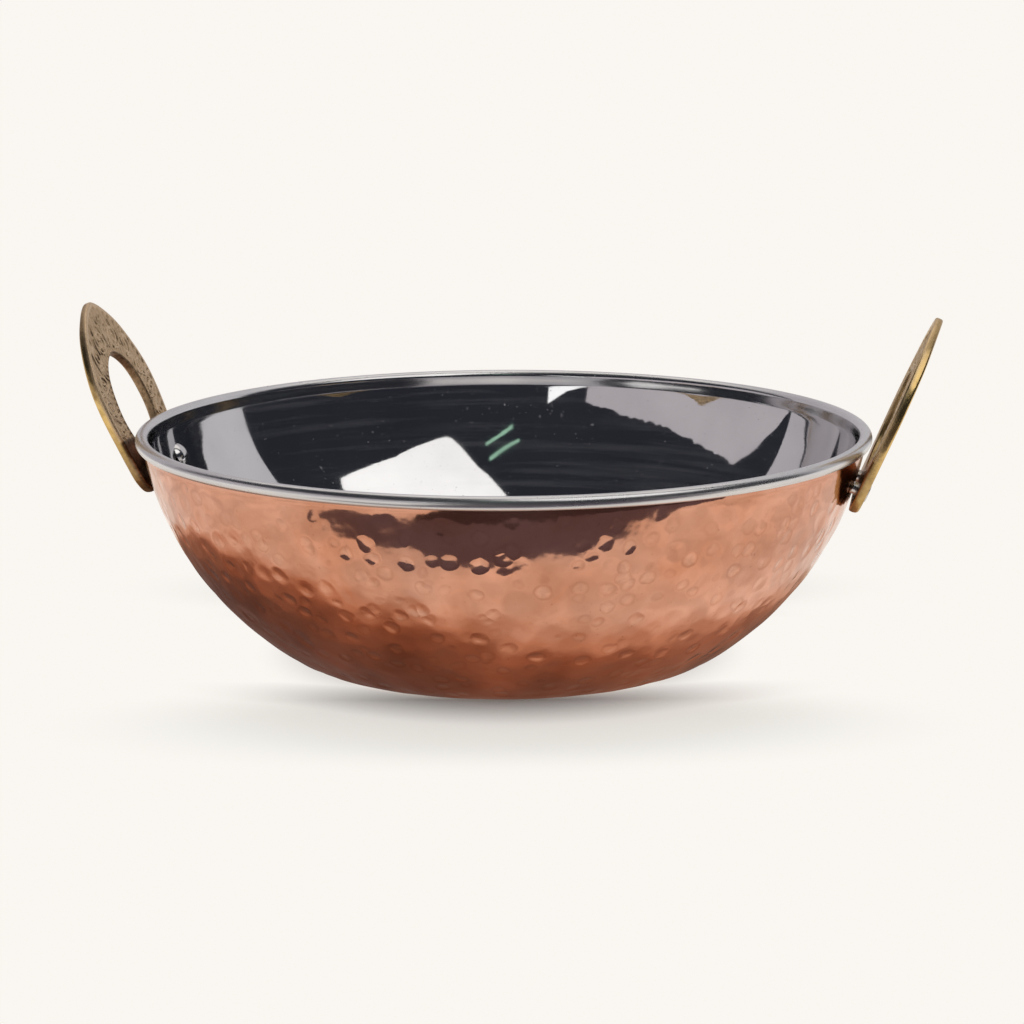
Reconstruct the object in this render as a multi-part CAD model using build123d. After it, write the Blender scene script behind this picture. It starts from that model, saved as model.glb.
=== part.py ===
from build123d import *
from build123d.topology import SkipClean
import math
import os

# A small kadai: a round bowl of polished steel inside a hammered copper shell, with two cast
# brass loop handles, each held by two rivets.
# Millimetres. The origin is the middle of the flat base, on the surface that it stands on. +Z is up,
# the handles are on -X (left) and +X (right), and the front is towards -Y.

# Bowl
rim_diameter = 200.0        # over the rolled rim
bowl_height = 62.9          # from the base to the top of the rolled rim
corner_radius = 18.0        # of the copper, between the flat base and the wall
knee_angle = 32.5           # degrees, slope where the corner passes into the wall
wall_top_angle = 79.0       # degrees, slope of the wall where the short neck begins
neck_radius = 5.5           # of the bend that brings the wall upright under the rim
neck_height = 2.1           # upright stretch below the middle of the rolled rim
copper_thickness = 0.7
steel_thickness = 0.7
shell_clearance = 0.2       # between the copper shell and the steel bowl
bead_diameter = 3.6         # of the rolled rim
curl_end_angle = -80.0      # degrees, where the rolled edge stops, beside the copper

# Handles
handle_width = 47.4
handle_height = 54.2        # along the plate, from the foot to the tip
handle_thickness = 2.6
handle_lean = 23.4          # degrees from upright, outwards
handle_clearance = 0.1      # between the plate and what it lies against
foot_rise = 5.0             # of the foot, above the place where the plate comes nearest to the wall
foot_width = 30.0           # flat edge under the foot
foot_round = 1.6            # at the back of the foot
edge_round = 0.6            # along the edges of the plate's two faces
hole_width = 27.4
hole_height = 29.4
hole_base = 9.4             # from the foot's edge to the lowest point of the hole

# Rivets
rivet_spacing = 17.5        # between the two of a handle
rivet_height = 5.0          # from the foot's edge
shank_diameter = 3.4
shank_clearance = 0.1       # round the shank in its holes
inner_head_diameter = 7.0
inner_head_height = 2.0
outer_head_diameter = 5.0
outer_head_height = 0.7
outer_head_round = 0.35     # at the edge of the outer head
seat_clearance = 0.1        # between the inner head and the steel

overrun = 2.0               # how far cutting solids reach past what they cut
depth_steps = 8             # in the search for the wall behind a rivet

# Half of the handle's outline, from the corner of the foot to just before the tip: the distance from
# the middle line as a share of half the width, and the place along the plate as a share of its height.
outline_shares = [
    (0.73, 0.025),
    (0.82, 0.07),
    (0.885, 0.16),
    (0.935, 0.27),
    (0.985, 0.39),
    (1.00, 0.49),
    (0.975, 0.58),
    (0.90, 0.665),
    (0.77, 0.76),
    (0.585, 0.86),
    (0.36, 0.935),
    (0.17, 0.98),
]

# The same for half of the hole, from its lowest point to just before its pointed top.
hole_shares = [
    (0.38, 0.03),
    (0.66, 0.10),
    (0.83, 0.19),
    (0.96, 0.32),
    (1.00, 0.44),
    (0.97, 0.57),
    (0.89, 0.70),
    (0.74, 0.82),
    (0.49, 0.92),
    (0.22, 0.98),
]

# Worked out from the sizes above
bead_radius = bead_diameter / 2
bead_height = bowl_height - bead_radius
bead_centre = Vector(rim_diameter / 2 - bead_radius, bead_height)
steel_outer_inset = copper_thickness + shell_clearance
steel_inner_inset = steel_outer_inset + steel_thickness
corner_cos = math.cos(math.radians(knee_angle))
wall_top_cos = math.cos(math.radians(wall_top_angle))
neck_centre = Vector(bead_centre.X - bead_radius + steel_inner_inset - neck_radius,
                     bead_height - neck_height)
wall_top_height = neck_centre.Y - neck_radius * wall_top_cos
wall_radius = (wall_top_height - corner_radius * (1 - corner_cos)) / (corner_cos - wall_top_cos)


def along_slope(slope):
    """The direction, in a half section, square to a wall of this slope and away from the bowl."""
    angle = math.radians(slope)
    return Vector(math.sin(angle), -math.cos(angle))


wall_centre = neck_centre - along_slope(wall_top_angle) * (wall_radius - neck_radius)
corner_centre = wall_centre + along_slope(knee_angle) * (wall_radius - corner_radius)
base_radius = corner_centre.X


def wall_line(inset):
    """The half section's line at this distance inside the copper's outer face, from the axis up."""
    base = Line((0, inset), (base_radius, inset))
    corner = CenterArc(corner_centre, corner_radius - inset, -90, knee_angle)
    wall = CenterArc(wall_centre, wall_radius - inset, knee_angle - 90, wall_top_angle - knee_angle)
    neck = CenterArc(neck_centre, neck_radius - inset, wall_top_angle - 90, 90 - wall_top_angle)
    upright = Line(neck @ 1, ((neck @ 1).X, bead_height))
    return [base, corner, wall, neck, upright]


def turned(lines):
    """The solid that a closed half section sweeps round the upright axis, each line its own face."""
    return revolve(Plane.XZ * make_face(lines), Axis.Z, clean=False)


def copper_shell():
    """The outer shell, whose top edge stands inside the rolled rim."""
    outer = wall_line(0)
    inner = wall_line(copper_thickness)
    top = Line(outer[-1] @ 1, inner[-1] @ 1)
    axis = Line((0, 0), (0, copper_thickness))
    return turned(outer + inner + [top, axis])


def curl_line(radius):
    """The rolled rim's line at this radius: over the top, then down the outside and in under it."""
    turns = [180, 90, 0, curl_end_angle]
    return [CenterArc(bead_centre, radius, start, end - start) for start, end in zip(turns, turns[1:])]


def steel_bowl():
    """The inner bowl, whose rim is rolled outwards over the copper's top edge."""
    outer = wall_line(steel_outer_inset)
    inner = wall_line(steel_inner_inset)
    curl_out = curl_line(bead_radius)
    curl_in = curl_line(bead_radius - steel_thickness)
    edge = Line(curl_out[-1] @ 1, curl_in[-1] @ 1)
    axis = Line((0, steel_outer_inset), (0, steel_inner_inset))
    return turned(outer + inner + curl_out + curl_in + [edge, axis])


def bowl_room():
    """The room inside the bowl, kept clear of the steel by the seat clearance."""
    inner = wall_line(steel_inner_inset + seat_clearance)
    top = Line(inner[-1] @ 1, (0, bead_height))
    axis = Line((0, bead_height), inner[0] @ 0)
    return turned(inner + [top, axis])


# The plate's inner face lies against the wall or the rolled rim, whichever stands out further.
plate_out = along_slope(90 - handle_lean)
wall_reach = wall_centre.dot(plate_out) + wall_radius
bead_reach = bead_centre.dot(plate_out) + bead_radius
plate_reach = max(wall_reach, bead_reach) + handle_clearance
plate_foot = wall_centre + plate_out * (plate_reach - wall_centre.dot(plate_out))
plate_up = Vector(-plate_out.Y, plate_out.X)
foot_edge = plate_foot + plate_up * foot_rise


def handle_plane(side):
    """The plate's inner face: origin at the foot's edge, X to the side, Y to the tip, Z outwards."""
    return Plane(
        origin=(side * foot_edge.X, 0, foot_edge.Y),
        x_dir=(0, side, 0),
        z_dir=(side * plate_out.X, 0, plate_out.Y),
    )


def pointed_arch(shares, width, height, base):
    """Points up one side of a pointed arch, over its tip and down the other side."""
    half = [(share * width / 2, base + rise * height) for share, rise in shares]
    other = [(-across, along) for across, along in reversed(half)]
    return half + [(0, base + height)] + other


def handle_outline():
    """The outer edge of the plate: a pointed arch on a flat foot."""
    right = (foot_width / 2, 0)
    left = (-foot_width / 2, 0)
    sides = Spline([right] + pointed_arch(outline_shares, handle_width, handle_height, 0) + [left])
    return make_face([sides, Line(left, right)])


def hole_outline():
    """The finger hole: a pointed arch on a rounded base."""
    arch = pointed_arch(hole_shares, hole_width, hole_height, hole_base)
    return make_face(Spline([(0, hole_base)] + arch, periodic=True))


def rivet_places():
    """Where the two rivets of a handle stand on its plate."""
    return [(place * rivet_spacing / 2, rivet_height) for place in (-1, 1)]


def foot_corner():
    """The solid that takes the sharp back corner off the foot and leaves it rounded."""
    middle = Vector(foot_round, handle_thickness - foot_round)
    bend = CenterArc(middle, foot_round, 90, 90)
    above = handle_thickness + overrun
    sides = Polyline(bend @ 1, (-overrun, middle.Y), (-overrun, above), (middle.X, above), bend @ 0)
    return extrude(Plane.YZ * make_face([bend, sides]), handle_width / 2 + overrun, both=True)


def handle(side):
    """One cast plate with its finger hole, soft edges and rivet holes."""
    plate = extrude(handle_outline() - hole_outline(), handle_thickness)
    inner_face = plate.faces().sort_by(Axis.Z)[0]
    back = plate.faces().sort_by(Axis.Z)[-1]
    plate = fillet(inner_face.edges() + back.edges(), edge_round)
    plate -= foot_corner()
    for across, along in rivet_places():
        hole = Cylinder(shank_diameter / 2 + shank_clearance, handle_thickness + 2 * overrun)
        plate -= Pos(across, along, handle_thickness / 2) * hole
    return handle_plane(side) * plate


def wall_depth(across, along, inset):
    """How far behind the plate's inner face this layer of the wall lies, on the way to the bowl."""
    plane = handle_plane(1)
    place = plane.from_local_coords(Vector(across, along, 0))
    depth = 0.0
    for step in range(depth_steps):
        point = place - plane.z_dir * depth
        radius = math.hypot(point.X, point.Y)
        away = math.hypot(radius - wall_centre.X, point.Z - wall_centre.Y)
        depth += away - (wall_radius - inset)
    return depth


def post(radius, low, high):
    """An upright round post between two heights."""
    return Pos(0, 0, low) * Cylinder(radius, high - low, align=(Align.CENTER, Align.CENTER, Align.MIN))


def rivet_seat(across, along):
    """The height, in the plate's frame, where a rivet's inner head meets the steel."""
    return -wall_depth(across, along, steel_inner_inset)


def rivet(side, across, along, room):
    """One rivet: a dome on the steel inside, a shank through the walls, a low disc on the plate."""
    seat = rivet_seat(across, along)
    head_radius = inner_head_diameter / 2
    crown_radius = (head_radius ** 2 + inner_head_height ** 2) / (2 * inner_head_height)
    crown = Pos(0, 0, seat - inner_head_height + crown_radius) * Sphere(crown_radius)
    dome = crown & post(head_radius, seat - inner_head_height, seat + overrun)
    shank = post(shank_diameter / 2, seat - inner_head_height / 2, handle_thickness)
    disc = post(outer_head_diameter / 2, handle_thickness, handle_thickness + outer_head_height)
    disc = fillet(disc.edges().sort_by(Axis.Z)[-1], outer_head_round)
    place = handle_plane(side) * Pos(across, along, 0)
    return (place * dome & room) + place * (shank + disc)


def rivet_hole(side, across, along):
    """The solid that cuts a rivet's hole through both walls."""
    seat = rivet_seat(across, along)
    hole = post(shank_diameter / 2 + shank_clearance, seat - overrun, 0)
    return handle_plane(side) * Pos(across, along, 0) * hole


def parts():
    """Every piece under its name."""
    sides = {"left": -1, "right": 1}
    room = bowl_room()
    pieces = {}
    holes = []
    for name, side in sides.items():
        pieces[f"handle_{name}"] = handle(side)
        for across, along in rivet_places():
            row = "front" if side * across < 0 else "rear"
            pieces[f"rivet_{name}_{row}"] = rivet(side, across, along, room)
            holes.append(rivet_hole(side, across, along))
    with SkipClean():
        bowl = steel_bowl() - holes
        shell = copper_shell() - holes
    return {"steel_bowl": bowl, "copper_shell": shell, **pieces}


os.makedirs("parts", exist_ok=True)
for node, shape in parts().items():
    export_step(shape, f"parts/{node}.step")
    size = shape.bounding_box().size
    print(f"{node}: {size.X:.1f} x {size.Y:.1f} x {size.Z:.1f} mm, {shape.volume / 1000:.2f} cm3")
print(f"flat base diameter {2 * base_radius:.1f}, wall radius {wall_radius:.1f}")
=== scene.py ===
# %% [markdown]
# # A kadai in polished steel, hammered copper and cast brass
# A kadai is a round cooking bowl with two loop handles. This one is pressed from steel sheet, set in a
# hammered copper shell, and carried by two cast brass plates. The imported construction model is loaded
# first and stays as it is: it gives the frame, in metres, with the origin in the middle of the flat
# base, +Z up, the handles on -X and +X, and the front towards -Y. Every new surface is laid on it.

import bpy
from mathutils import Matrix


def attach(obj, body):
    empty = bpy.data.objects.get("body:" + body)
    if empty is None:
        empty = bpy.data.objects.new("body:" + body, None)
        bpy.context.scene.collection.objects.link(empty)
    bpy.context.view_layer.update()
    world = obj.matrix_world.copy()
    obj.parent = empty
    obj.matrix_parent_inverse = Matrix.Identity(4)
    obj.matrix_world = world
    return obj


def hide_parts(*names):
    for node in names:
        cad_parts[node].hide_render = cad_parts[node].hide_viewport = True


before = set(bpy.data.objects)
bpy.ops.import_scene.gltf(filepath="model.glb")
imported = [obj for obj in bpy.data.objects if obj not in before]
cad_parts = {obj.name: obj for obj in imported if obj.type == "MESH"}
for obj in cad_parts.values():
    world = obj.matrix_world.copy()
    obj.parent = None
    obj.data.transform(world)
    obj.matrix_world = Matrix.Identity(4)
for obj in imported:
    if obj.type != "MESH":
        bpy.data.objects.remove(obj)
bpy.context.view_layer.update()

# %% Tools and units
import math
import bpy
import numpy as np
from mathutils import Matrix, Vector

MM = 0.001
rng = np.random.default_rng(7)


# %% [markdown]
# ## Grids
# Pressed, spun and cast surfaces are all grids: one parameter runs round the piece, the other runs
# along its section. So one helper turns an array of points into a closed mesh. It could be done with
# the Screw modifier, but an array can be pushed in and out, dimple by dimple, before it is a mesh.

# %% A mesh from a grid
def smoothstep(low, high, value):
    """0 below low, 1 above high, and between them 3t^2 - 2t^3, with t the share of the way."""
    t = np.clip((value - low) / (high - low), 0, 1)
    return t * t * (3 - 2 * t)


def ring_faces(rows, columns, wrap):
    """Quads between each row and the next, round all the columns; with wrap, the last row meets
    the first."""
    row = np.arange(rows if wrap else rows - 1)[:, None] * columns
    column = np.arange(columns)[None, :]
    after = (column + 1) % columns
    up = (row + columns) % (rows * columns)
    return np.stack([row + column, row + after, up + after, up + column], -1).reshape(-1, 4)


def piece_from_grid(name, grid, poles=None, attributes=None):
    """A closed mesh from points in millimetres, rows x columns x 3, closed round the columns.
    With two pole points the first and last row end in fans, and without them the rows close too."""
    rows, columns = grid.shape[:2]
    points = grid.reshape(-1, 3)
    faces = ring_faces(rows, columns, poles is None).tolist()
    if poles is not None:
        points = np.concatenate([points, np.asarray(poles, float)])
        here = np.arange(columns)
        after = (here + 1) % columns
        first, last = rows * columns, rows * columns + 1
        top = (rows - 1) * columns
        faces += np.stack([after, here, np.full(columns, first)], -1).tolist()
        faces += np.stack([top + here, top + after, np.full(columns, last)], -1).tolist()
    if signed_volume(points, faces) < 0:
        faces = [face[::-1] for face in faces]
    mesh = bpy.data.meshes.new(name)
    mesh.from_pydata((points * MM).tolist(), [], faces)
    for key, values in (attributes or {}).items():
        layer = mesh.attributes.new(key, "FLOAT", "POINT")
        full = np.zeros(len(points), np.float32)
        full[:rows * columns] = np.asarray(values, np.float32).ravel()
        layer.data.foreach_set("value", full)
    mesh.shade_smooth()
    piece = bpy.data.objects.new(name, mesh)
    bpy.context.scene.collection.objects.link(piece)
    print(f"{name}: {len(points)} points, volume {abs(signed_volume(points, faces)) / 1000:.2f} cm3")
    return piece


def signed_volume(points, faces):
    """A sixth of the sum, over the faces cut in triangles, of a . (b x c): positive if they face out."""
    total = 0.0
    for size in (3, 4):
        some = np.array([face for face in faces if len(face) == size])
        for k in range(2, size) if len(some) else ():
            a, b, c = (points[some[:, i]] for i in (0, k - 1, k))
            total += np.einsum("ij,ij->", a, np.cross(b, c)) / 6
    return total


# %% [markdown]
# ## The bowl's section
# Half a section through the axis says nearly everything about both sheets: a flat base, a corner, a
# long wall, and a short bend that brings the wall upright under the rim. Each stretch is an arc that
# starts in the direction in which the one before it ends, so reflections run over the joints.

# %% Sizes of the bowl, in millimetres
rim_diameter, bowl_height = 200.0, 62.9
corner_radius, knee_angle, wall_top_angle = 18.0, 32.5, 79.0
neck_radius, neck_height = 5.5, 2.1
copper_inner, steel_outer, steel_inner = 0.7, 0.9, 1.6
bead_radius = 1.8
steel_thickness = 0.7
curl_end_angle = -80.0

bead_r, bead_z = rim_diameter / 2 - bead_radius, bowl_height - bead_radius
neck_centre = np.array([bead_r - bead_radius + steel_inner - neck_radius, bead_z - neck_height])
corner_cos = math.cos(math.radians(knee_angle))
top_cos = math.cos(math.radians(wall_top_angle))
wall_radius = ((neck_centre[1] - neck_radius * top_cos - corner_radius * (1 - corner_cos))
               / (corner_cos - top_cos))


def along_slope(slope):
    """The direction square to a wall of this slope: (sine, minus cosine)."""
    return np.array([math.sin(math.radians(slope)), -math.cos(math.radians(slope))])


wall_centre = neck_centre - along_slope(wall_top_angle) * (wall_radius - neck_radius)
corner_centre = wall_centre + along_slope(knee_angle) * (wall_radius - corner_radius)
print(f"wall radius {wall_radius:.2f}, flat base radius {corner_centre[0]:.2f}")


# %% Lines of the section
def arc(centre, radius, first, last, step):
    """Points on an arc between two angles, evenly spaced and no further apart than step."""
    count = max(2, math.ceil(radius * abs(math.radians(last - first)) / step))
    turn = np.radians(np.linspace(first, last, count + 1))
    return centre + radius * np.stack([np.cos(turn), np.sin(turn)], -1)


def straight(start, end, step):
    """Points on a straight line, both ends included."""
    start, end = np.asarray(start, float), np.asarray(end, float)
    count = max(1, math.ceil(np.linalg.norm(end - start) / step))
    return start + (end - start) * np.linspace(0, 1, count + 1)[:, None]


def chain(*lines):
    """Lines end to end, each joint's point kept once."""
    return np.concatenate([lines[0]] + [line[1:] for line in lines[1:]])


def wall_line(inset, step, base_step=3.0):
    """The sheet's line at this distance inside the copper's outer face, from near the axis up."""
    base = straight((0.4, inset), (corner_centre[0], inset), base_step)
    corner = arc(corner_centre, corner_radius - inset, -90, knee_angle - 90, step)
    wall = arc(wall_centre, wall_radius - inset, knee_angle - 90, wall_top_angle - 90, step)
    neck = arc(neck_centre, neck_radius - inset, wall_top_angle - 90, 0, step)
    upright = straight(neck[-1], (neck[-1][0], bead_z), step)
    return chain(base, corner, wall, neck, upright)


def outward(line):
    """The unit vector square to the line at each point, to the right of the way it runs."""
    way = np.gradient(line, axis=0)
    way /= np.linalg.norm(way, axis=1, keepdims=True)
    return np.stack([way[:, 1], -way[:, 0]], -1)


def run_length(line):
    """The distance along the line from its first point."""
    return np.concatenate([[0], np.cumsum(np.linalg.norm(np.diff(line, axis=0), axis=1))])


def turned(section, columns):
    """A section, rows x 2 or rows x columns x 2, swept round the axis: (r cos a, r sin a, z)."""
    if section.ndim == 2:
        section = np.repeat(section[:, None, :], columns, 1)
    angle = np.arange(columns) * 2 * math.pi / columns
    r, z = section[..., 0], section[..., 1]
    return np.stack([r * np.cos(angle), r * np.sin(angle), z], -1)


# %% [markdown]
# ## The hammered copper
# A planished shell carries hundreds of shallow marks of a domed hammer, laid in rough rings and
# overlapping, so each is cut off by the next along a soft ridge. The broad marks bend the outline and
# the reflections, so they are in the mesh, and the finish adds smaller ones as bump. Every mark is a
# flat bowl, and a point lies about as deep as the deepest mark over it. Only the nine nearest are tried.

# %% Hammer marks
mark_spacing = 7.0
mark_radius = 3.4
mark_depth = 0.17
mark_scatter = 0.26
near_rim, at_rim, rim_loss = 30, 12, 0.7
shell_columns = 768


def hammer_depth(run, radius_at, angle):
    """Depth of the marks at these places: run along the wall, radius from the axis, angle round it.
    A mark's depth is d (1 - q^2)^1.5, with q the distance from its middle over its radius. The nine
    nearest join as the eighth root of the sum of their eighth powers: nearly the deepest of them, but
    round where two meet."""
    first, last = corner_centre[0] + 3, run.max() - 3
    rings = int((last - first) / mark_spacing) + 1
    ring_run = first + mark_spacing * np.arange(rings)
    ring_radius = np.interp(ring_run, run[:, 0], radius_at[:, 0])
    counts = np.round(2 * math.pi * ring_radius / mark_spacing).astype(int)
    most = counts.max() + 1
    start = rng.uniform(0, 2 * math.pi, rings)
    shift_run = rng.normal(0, mark_scatter, (rings, most)) * mark_spacing
    shift_turn = rng.normal(0, mark_scatter, (rings, most))
    size = mark_radius * rng.uniform(0.75, 1.25, (rings, most))
    depth = mark_depth * rng.uniform(0.3, 1.3, (rings, most))
    kept = 1 - rim_loss * smoothstep(run.max() - near_rim, run.max() - at_rim, ring_run)
    depth *= rng.uniform(0, 1, (rings, most)) < kept[:, None]
    near_ring = np.round((run - first) / mark_spacing).astype(int)
    total = np.zeros(np.broadcast(run, angle).shape)
    for ring_step in (-1, 0, 1):
        ring = np.clip(near_ring + ring_step, 0, rings - 1)
        count, turn0 = counts[ring], start[ring]
        here = np.round((angle - turn0) / (2 * math.pi) * count).astype(int)
        for step in (-1, 0, 1):
            k = (here + step) % count
            middle_turn = turn0 + (k + shift_turn[ring, k]) * 2 * math.pi / count
            off_turn = (angle - middle_turn + math.pi) % (2 * math.pi) - math.pi
            off_run = run - ring_run[ring] - shift_run[ring, k]
            q_squared = (off_run ** 2 + (off_turn * radius_at) ** 2) / size[ring, k] ** 2
            mark = depth[ring, k] * np.clip(1 - q_squared, 0, None) ** 1.5
            total = total + mark ** 8
    return total ** 0.125


# %% The copper shell
outer = wall_line(0, 0.86, 6.0)
inner = wall_line(copper_inner, 6.0, 16.0)
run = run_length(outer)[:, None]
angle = (np.arange(shell_columns) * 2 * math.pi / shell_columns)[None, :]
depth = hammer_depth(run, outer[:, :1], angle)
shelter = smoothstep(corner_centre[0] + 1, corner_centre[0] + 8, run)
depth *= shelter * (1 - smoothstep(run.max() - 5, run.max() - 2.5, run))
wide_swell, narrow_swell = 0.045, 0.03
swell = (wide_swell * np.sin(19 * angle + 0.28 * run + 2 * np.sin(3 * angle))
         + narrow_swell * np.sin(31 * angle - 0.24 * run + 2 * np.sin(5 * angle)))
depth += (swell + 0.075) * shelter * (1 - smoothstep(run.max() - 9, run.max() - 4, run))
hammered = outer[:, None, :] - outward(outer)[:, None, :] * depth[..., None]
plain_inner = np.repeat(inner[::-1][:, None, :], shell_columns, 1)
shell_grid = turned(np.concatenate([hammered, plain_inner]), shell_columns)
copper_shell = piece_from_grid("copper_skin", shell_grid, [(0, 0, 0), (0, 0, copper_inner)])
print(f"hammer marks: up to {depth.max():.2f} mm deep, {np.mean(depth[60:]):.3f} mm on average")

# %% [markdown]
# ## The steel bowl
# The bowl is one sheet whose edge is rolled outwards over the copper. The section goes up the inside,
# round the roll, back inside the roll, and down the outside, so the sheet has its real thickness
# and a closed skin. A Solidify modifier would do for the wall, but not for the roll.

# %% The steel bowl
bowl_columns = 512
inside = wall_line(steel_inner, 1.4, 2.5)
outside = wall_line(steel_outer, 3.0, 6.0)
bead_centre = np.array([bead_r, bead_z])
roll_out = arc(bead_centre, bead_radius, 180, curl_end_angle, 0.28)
roll_out[:, 0] = np.minimum(roll_out[:, 0], rim_diameter / 2 - 0.01)  # inside the solid's own facets
roll_in = arc(bead_centre, bead_radius - steel_thickness, curl_end_angle, 180, 0.4)
ring_depth, ring_spacing = 0.004, 9.0
upward = run_length(inside)
spun = ring_depth * np.sin(upward * 2 * math.pi / ring_spacing) * smoothstep(60, 80, upward)
inside = inside + outward(inside) * spun[:, None]
bowl_section = np.concatenate([inside, roll_out[1:], roll_in, outside[::-1][1:]])
steel_bowl = piece_from_grid(
    "steel_bowl_skin", turned(bowl_section, bowl_columns), [(0, 0, steel_inner), (0, 0, steel_outer)])

# %% [markdown]
# ## The handles
# Each handle is a flat cast plate: a pointed arch outside, a pointed finger hole, and a scroll in low
# relief on the side that faces the bowl. Seen from the middle of the hole, both edges are a distance
# for every direction, so the plate is a grid: round the hole one way, across the bar the other.

# %% Sizes of the plate, in millimetres
handle_width, handle_height, handle_thickness = 47.4, 54.2, 2.6
handle_lean, handle_clearance, foot_rise, foot_width, foot_round = 23.4, 0.1, 5.0, 30.0, 1.6
hole_width, hole_height, hole_base = 27.4, 29.4, 9.4
outline_shares = [(0.73, 0.025), (0.82, 0.07), (0.885, 0.16), (0.935, 0.27), (0.985, 0.39), (1.00, 0.49),
                  (0.975, 0.58), (0.90, 0.665), (0.77, 0.76), (0.585, 0.86), (0.36, 0.935), (0.17, 0.98)]
hole_shares = [(0.38, 0.03), (0.66, 0.10), (0.83, 0.19), (0.96, 0.32), (1.00, 0.44), (0.97, 0.57),
               (0.89, 0.70), (0.74, 0.82), (0.49, 0.92), (0.22, 0.98)]

plate_out = along_slope(90 - handle_lean)
plate_up = np.array([-plate_out[1], plate_out[0]])
wall_reach = wall_centre @ plate_out + wall_radius
bead_reach = bead_centre @ plate_out + bead_radius
plate_reach = max(wall_reach, bead_reach) + handle_clearance
plate_foot = wall_centre + plate_out * (plate_reach - wall_centre @ plate_out)
foot_edge = plate_foot + plate_up * foot_rise
print("foot of the plate at", foot_edge.round(2), "leaning", handle_lean, "degrees")


def on_plate(side, across, along, out):
    """World points from the plate's own directions: across it, along it to the tip, and outwards."""
    x = side * (foot_edge[0] + along * plate_up[0] + out * plate_out[0])
    z = foot_edge[1] + along * plate_up[1] + out * plate_out[1]
    return np.stack([x, side * across, z], -1)


# %% The plate's two edges
def smooth_line(points, count):
    """A smooth line through the points: between two of them a cubic whose slope at each point is the
    mean of the slopes beside it, each weighed by the other's length."""
    points = np.asarray(points, float)
    step = np.linalg.norm(np.diff(points, axis=0), axis=1)
    at = np.concatenate([[0], np.cumsum(step)])
    slope = np.diff(points, axis=0) / step[:, None]
    both = (step[:-1] + step[1:])[:, None]
    middle = (slope[:-1] * step[1:, None] + slope[1:] * step[:-1, None]) / both
    way = np.concatenate([slope[:1], middle, slope[-1:]])
    where = np.linspace(0, at[-1], count)
    k = np.clip(np.searchsorted(at, where, side="right") - 1, 0, len(step) - 1)
    t, h = ((where - at[k]) / step[k])[:, None], step[k][:, None]
    return ((2 * t ** 3 - 3 * t ** 2 + 1) * points[k] + (t ** 3 - 2 * t ** 2 + t) * h * way[k]
            + (3 * t ** 2 - 2 * t ** 3) * points[k + 1] + (t ** 3 - t ** 2) * h * way[k + 1])


def pointed_arch(shares, width, height, base):
    """Points up the right side of a pointed arch, over the tip and down the left side."""
    half = [(share * width / 2, base + rise * height) for share, rise in shares]
    return half + [(0, base + height)] + [(-across, along) for across, along in reversed(half)]


def distance_at(line, turn):
    """How far the line is from the hole's middle, in each of these directions."""
    off = line - eye
    way = np.arctan2(off[:, 1], off[:, 0])
    order = np.argsort(way)
    return np.interp(turn, way[order], np.linalg.norm(off, axis=1)[order], period=2 * math.pi)


edge_points = 2400
eye = np.array([0, hole_base + 0.5 * hole_height])
arch = pointed_arch(outline_shares, handle_width, handle_height, 0)
outline = chain(smooth_line([(foot_width / 2, 0)] + arch + [(-foot_width / 2, 0)], edge_points),
                straight((-foot_width / 2, 0), (foot_width / 2, 0), 0.1))
arch = pointed_arch(hole_shares, hole_width, hole_height, hole_base)
hole_foot = [(0, hole_base)]
hole = smooth_line(arch[-2:] + hole_foot + arch + hole_foot + arch[:2], edge_points)

bar_columns = 760
turn = np.linspace(-math.pi, math.pi, bar_columns, endpoint=False) + 0.001
corner_turn = np.arctan2(-eye[1], np.array([foot_width / 2, -foot_width / 2]))
for corner in corner_turn:
    turn[np.argmin(abs(turn - corner))] = corner
outline_at, hole_at = distance_at(outline, turn) - 0.01, distance_at(hole, turn)
bar_width = outline_at - hole_at
print(f"bar between hole and edge: {bar_width.min():.1f} to {bar_width.max():.1f} mm")


# %% [markdown]
# ## The scroll on the brass
# The cast relief is a common kind of vine: a stem that sways from edge to edge, a curl in each
# bend, leaves in the corners, and two curls with a bud over the hole. Each is a distance turned into
# a height: the distance to a wave, to a spiral's nearest turn, or to a drop. Carving it by hand would
# take hours and could not be changed; as a height it stays one function of the place on the plate.

# %% Parts of the scroll
def ridge(distance, half_width):
    """A rounded ridge: 1 on its line, falling to 0 at its half width as 1 - t^2, with soft feet."""
    return smoothstep(0, 1, 1 - np.clip(np.abs(distance) / half_width, 0, 1))


def curl(across, along, pitch, reach, width):
    """A spiral ridge: the distance to its nearest turn is the share of a turn left over, times the
    pitch."""
    away = np.hypot(across, along)
    turns = away / pitch - np.arctan2(along, across) / (2 * math.pi)
    left_over = (turns - np.round(turns)) * pitch
    return ridge(left_over, width) * (1 - smoothstep(reach - 0.3, reach + 0.1, away))


def drop(across, along, length, width):
    """A leaf from the origin along +along: its half width swells as the sine of the way, then points."""
    t = np.clip(along / length, 0, 1)
    half = width * np.sin(math.pi * t ** 0.75) + 1e-6
    body = smoothstep(0, 0.7, 1 - np.abs(across) / half) * ((along > 0) & (along < length))
    vein = 0.55 * ridge(across, 0.2) * ((along > 0.15 * length) & (along < 0.85 * length))
    return body - np.where(body > 0.3, vein, 0)


def tilted(across, along, middle, degrees):
    """The same places seen from another point and turned by some degrees."""
    c, s = math.cos(math.radians(degrees)), math.sin(math.radians(degrees))
    x, y = across - middle[0], along - middle[1]
    return c * x + s * y, -s * x + c * y


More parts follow.
